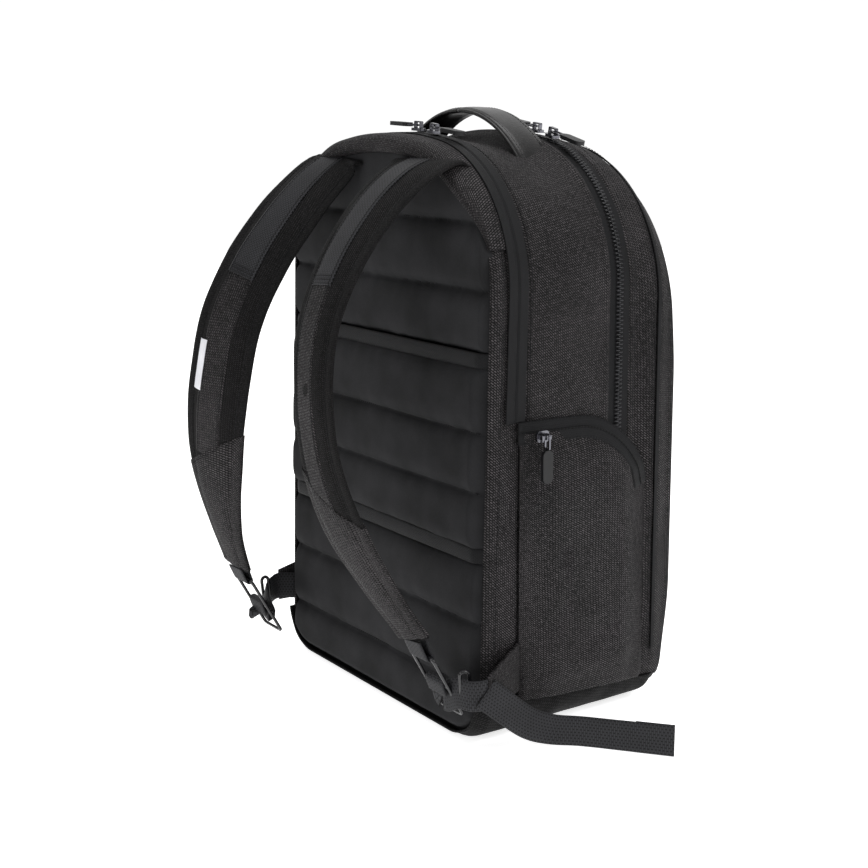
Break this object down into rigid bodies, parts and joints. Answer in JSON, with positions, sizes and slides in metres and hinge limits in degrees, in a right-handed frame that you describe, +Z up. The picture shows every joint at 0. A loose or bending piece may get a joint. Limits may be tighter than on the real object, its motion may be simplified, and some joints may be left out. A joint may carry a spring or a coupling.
{
  "type": "school backpack",
  "caption": "Arched day pack with a quilted back, a luggage sleeve, padded shoulder straps, a top handle and zipped compartments.",
  "frame": {"origin": "middle of the flat underside of the base", "axes": "+X is the wearer's right, +Y points to the wearer's back, +Z is up"},
  "size_m": [0.4271, 0.3302, 0.499],
  "materials": {
    "shell_fabric": "woven matt",
    "quilt_fabric": "smooth knit",
    "lining_fabric": "plain weave",
    "webbing": "ribbed",
    "zip_tape": "fine weave",
    "zip_coil": "satin",
    "black_nickel": "polished",
    "rubber_tab": "matt",
    "handle_leather": "grained",
    "black_wire": "gloss",
    "stiffener_sheet": "matt"
  },
  "bodies": {
    "bag": {"back_stiffener_sheet": "stiffener_sheet", "base_board": "stiffener_sheet", "base_tub": "shell_fabric", "body_gusset": "shell_fabric", "front_gusset": "shell_fabric", "front_panel": "shell_fabric", "front_pocket": "shell_fabric", "front_pocket_zip_tape": "zip_tape", "handle_end_tabs": "handle_leather", "laptop_divider": "lining_fabric", "laptop_gusset": "shell_fabric", "laptop_zip_coil": "zip_coil", "laptop_zip_tape": "zip_tape", "left_anchor_webbing": "webbing", "left_anchor_wing": "shell_fabric", "left_keeper_ring": "black_wire", "left_pocket_zip_tape": "zip_tape", "left_side_pocket": "shell_fabric", "luggage_sleeve_hems": "webbing", "luggage_sleeve_pad": "quilt_fabric", "luggage_sleeve_seams": "shell_fabric", "main_zip_coil": "zip_coil", "main_zip_tape": "zip_tape", "quilted_back_pad": "quilt_fabric", "right_anchor_webbing": "webbing", "right_anchor_wing": "shell_fabric", "right_keeper_ring": "black_wire", "right_pocket_zip_tape": "zip_tape", "right_side_pocket": "shell_fabric"},
    "handle": {"handle_grip": "handle_leather"},
    "left_strap": {"left_strap_pad": "quilt_fabric", "left_strap_facing": "webbing", "left_strap_end_loop": "webbing"},
    "left_buckle_body": {"left_buckle": "black_wire"},
    "right_strap": {"right_strap_pad": "quilt_fabric", "right_strap_facing": "webbing", "right_strap_end_loop": "webbing"},
    "right_buckle_body": {"right_buckle": "black_wire"},
    "left_tail": {"left_webbing_tail": "webbing"},
    "laptop_left_slider_body": {"laptop_left_slider": "black_nickel"},
    "laptop_left_pull_body": {"laptop_left_pull_link": "black_nickel", "laptop_left_pull_tab": "rubber_tab"},
    "laptop_right_slider_body": {"laptop_right_slider": "black_nickel"},
    "laptop_right_pull_body": {"laptop_right_pull_link": "black_nickel", "laptop_right_pull_tab": "rubber_tab"},
    "main_left_slider_body": {"main_left_slider": "black_nickel"},
    "main_left_pull_body": {"main_left_pull_link": "black_nickel", "main_left_pull_tab": "rubber_tab"},
    "main_right_slider_body": {"main_right_slider": "black_nickel"},
    "main_right_pull_body": {"main_right_pull_link": "black_nickel", "main_right_pull_tab": "rubber_tab"},
    "left_pocket_slider_body": {"left_pocket_slider": "black_nickel"},
    "left_pocket_pull_body": {"left_pocket_pull_link": "black_nickel", "left_pocket_pull_tab": "rubber_tab"},
    "right_pocket_slider_body": {"right_pocket_slider": "black_nickel"},
    "right_pocket_pull_body": {"right_pocket_pull_link": "black_nickel", "right_pocket_pull_tab": "rubber_tab"},
    "front_pocket_slider_body": {"front_pocket_slider": "black_nickel"},
    "front_pocket_pull_body": {"front_pocket_pull_link": "black_nickel", "front_pocket_pull_tab": "rubber_tab"}
  },
  "joints": [
    {"name": "handle_tip", "type": "hinge", "parent": "bag", "child": "handle", "pos_m": [0, -0.012, 0.47], "axis": [1, 0, 0], "range_deg": [-15, 15], "stiffness_Nm_per_rad": 0.15},
    {"name": "left_strap_swing", "type": "hinge", "parent": "bag", "child": "left_strap", "pos_m": [0, 0.08752, 0.448], "axis": [1, 0, 0], "range_deg": [0, 10]},
    {"name": "left_buckle_tilt", "type": "hinge", "parent": "left_strap", "child": "left_buckle_body", "pos_m": [0, 0.13, 0.081], "axis": [1, 0, 0], "range_deg": [0, 20]},
    {"name": "right_strap_swing", "type": "hinge", "parent": "bag", "child": "right_strap", "pos_m": [0, 0.08752, 0.448], "axis": [1, 0, 0], "range_deg": [0, 10]},
    {"name": "right_buckle_tilt", "type": "hinge", "parent": "right_strap", "child": "right_buckle_body", "pos_m": [0, 0.155, 0.083], "axis": [1, 0, 0], "range_deg": [0, 20]},
    {"name": "left_tail_swing", "type": "hinge", "parent": "bag", "child": "left_tail", "pos_m": [-0.1706, 0.0985, 0.055], "axis": [0, 0, 1], "range_deg": [-25, 0]},
    {"name": "laptop_left_slider_travel", "type": "hinge", "parent": "bag", "child": "laptop_left_slider_body", "pos_m": [0, 0.06405, 0.1571], "axis": [0, 0.9995, 0.0314], "range_deg": [-3.8, 1.5]},
    {"name": "laptop_left_pull_lift", "type": "hinge", "parent": "laptop_left_slider_body", "child": "laptop_left_pull_body", "pos_m": [-0.03697, 0.05379, 0.48351], "axis": [0, 0.9995, 0.0314], "range_deg": [0, 95]},
    {"name": "laptop_right_slider_travel", "type": "hinge", "parent": "bag", "child": "laptop_right_slider_body", "pos_m": [0, 0.06405, 0.1571], "axis": [0, 0.9995, 0.0314], "range_deg": [-1.5, 12.7]},
    {"name": "laptop_right_pull_lift", "type": "hinge", "parent": "laptop_right_slider_body", "child": "laptop_right_pull_body", "pos_m": [-0.01438, 0.05374, 0.48528], "axis": [0, -0.9995, -0.0314], "range_deg": [0, 95]},
    {"name": "main_left_slider_travel", "type": "hinge", "parent": "bag", "child": "main_left_slider_body", "pos_m": [-0.038, -0.043, 0.35945], "axis": [0, 1, 0], "range_deg": [-70, 1.5]},
    {"name": "main_left_pull_lift", "type": "hinge", "parent": "main_left_slider_body", "child": "main_left_pull_body", "pos_m": [-0.06811, -0.043, 0.47938], "axis": [0, 1, 0], "range_deg": [0, 95]},
    {"name": "main_right_slider_travel", "type": "hinge", "parent": "bag", "child": "main_right_slider_body", "pos_m": [0, -0.043, 0.158], "axis": [0, 1, 0], "range_deg": [-1, 18]},
    {"name": "main_right_pull_lift", "type": "hinge", "parent": "main_right_slider_body", "child": "main_right_pull_body", "pos_m": [-0.04724, -0.043, 0.48324], "axis": [0, -1, 0], "range_deg": [0, 95]},
    {"name": "left_pocket_slider_travel", "type": "slide", "parent": "bag", "child": "left_pocket_slider_body", "axis": [0, -1, 0], "range_m": [0, 0.033]},
    {"name": "left_pocket_pull_lift", "type": "hinge", "parent": "left_pocket_slider_body", "child": "left_pocket_pull_body", "pos_m": [-0.17405, 0.045, 0.252], "axis": [0, 1, 0], "range_deg": [0, 110]},
    {"name": "right_pocket_slider_travel", "type": "slide", "parent": "bag", "child": "right_pocket_slider_body", "axis": [0, -1, 0], "range_m": [0, 0.033]},
    {"name": "right_pocket_pull_lift", "type": "hinge", "parent": "right_pocket_slider_body", "child": "right_pocket_pull_body", "pos_m": [0.17405, 0.045, 0.252], "axis": [0, -1, 0], "range_deg": [0, 110]},
    {"name": "front_pocket_slider_travel", "type": "slide", "parent": "bag", "child": "front_pocket_slider_body", "axis": [1, 0, 0], "range_m": [0, 0.204]},
    {"name": "front_pocket_pull_lift", "type": "hinge", "parent": "front_pocket_slider_body", "child": "front_pocket_pull_body", "pos_m": [-0.102, -0.12135, 0.325], "axis": [-1, 0, 0], "range_deg": [0, 110]}
  ]
}
